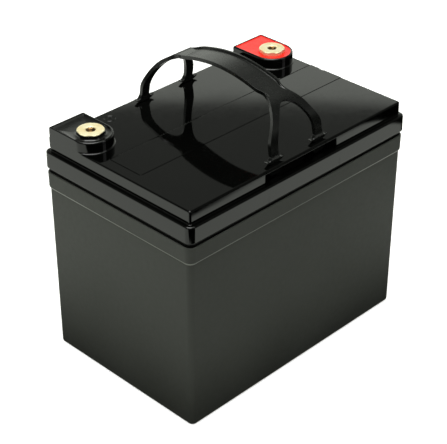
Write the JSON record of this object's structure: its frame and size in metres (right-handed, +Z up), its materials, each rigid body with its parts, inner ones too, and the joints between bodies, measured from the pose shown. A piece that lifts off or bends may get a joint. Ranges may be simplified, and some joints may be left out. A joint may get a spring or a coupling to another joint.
{
  "type": "battery pack",
  "caption": "Sealed lead-acid block battery in a plastic case, with raised terminal towers, brass threaded terminals, a flush vent strip and an arched strap handle.",
  "frame": {"origin": "centre of the underside of the case, on the surface it stands on", "axes": "+X along the long side towards the positive terminal, +Y along the short side towards the long edge that both terminals stand at, +Z up"},
  "size_m": [0.195, 0.13, 0.1966],
  "materials": {
    "case": "fine matte moulding texture",
    "lid": "gloss",
    "lid_seal": "matte",
    "vent_cover": "gloss",
    "valve_rubber": "matte",
    "positive_plate": "dull pasted oxide",
    "negative_plate": "dull pasted lead",
    "glass_mat": "matte",
    "lead": "dull cast lead",
    "gasket_rubber": "matte",
    "brass": "bright turned",
    "red_epoxy": "gloss",
    "black_epoxy": "gloss",
    "handle": "satin"
  },
  "bodies": {
    "battery": {"case": "case", "lid": "lid", "inner_lid": "case", "lid_seal": "lid_seal", "negative_tower": "lid", "positive_tower": "lid", "vent_cover": "vent_cover", "valve_caps": "valve_rubber", "positive_plates": "positive_plate", "negative_plates": "negative_plate", "separators": "glass_mat", "positive_straps": "lead", "negative_straps": "lead", "intercell_welds": "lead", "positive_post": "lead", "negative_post": "lead", "positive_gasket": "gasket_rubber", "negative_gasket": "gasket_rubber", "positive_terminal": "brass", "negative_terminal": "brass", "positive_seal": "red_epoxy", "negative_seal": "black_epoxy"},
    "handle": {"handle": "handle"}
  },
  "joints": [
    {"name": "handle_lift", "type": "slide", "parent": "battery", "child": "handle", "axis": [0, 0, 1], "range_m": [0, 0.003]}
  ]
}
